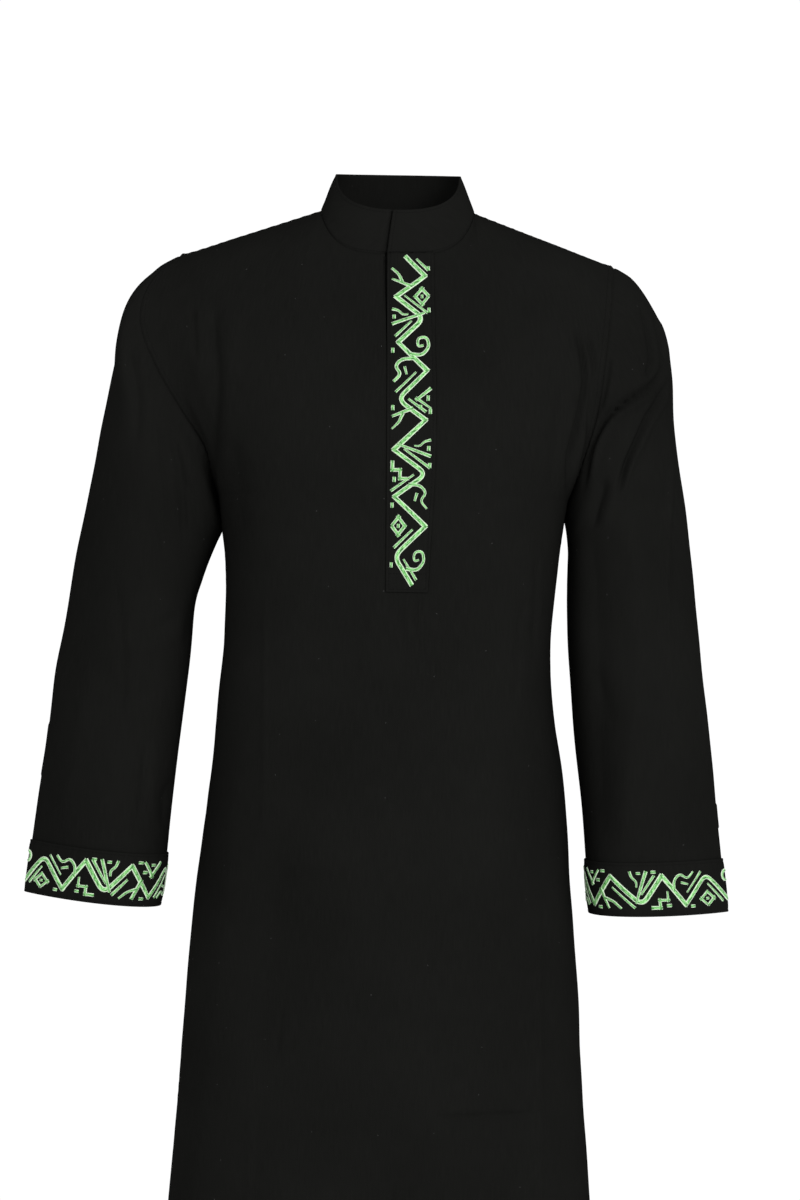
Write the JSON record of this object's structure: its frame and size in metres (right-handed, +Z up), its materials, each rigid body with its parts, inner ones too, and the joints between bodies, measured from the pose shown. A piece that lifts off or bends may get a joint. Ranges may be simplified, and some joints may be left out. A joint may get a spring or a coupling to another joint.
{
  "type": "jubba",
  "caption": "Ankle-length men's jubba in its worn shape: plain black cloth, stand collar, half placket and sleeve hems banded with green strapwork embroidery.",
  "frame": {"origin": "middle of the neck opening, level with the two side neck points where the shoulder seams meet the collar", "axes": "+Z up, +X to the viewer's right when looking at the front, front towards -Y"},
  "size_m": [0.6977, 0.3327, 1.4641],
  "materials": {
    "plain_cloth": "matt black suiting with a soft nap",
    "faced_cloth": "matt black suiting over interfacing",
    "green_thread": "lustrous satin-stitched rayon thread"
  },
  "bodies": {
    "root": {"front": "plain_cloth", "back": "plain_cloth", "sleeve_left": "plain_cloth", "sleeve_right": "plain_cloth", "cuff_band_left": "faced_cloth", "cuff_band_right": "faced_cloth", "collar": "faced_cloth", "placket": "faced_cloth", "placket_underlap": "plain_cloth"}
  },
  "joints": []
}
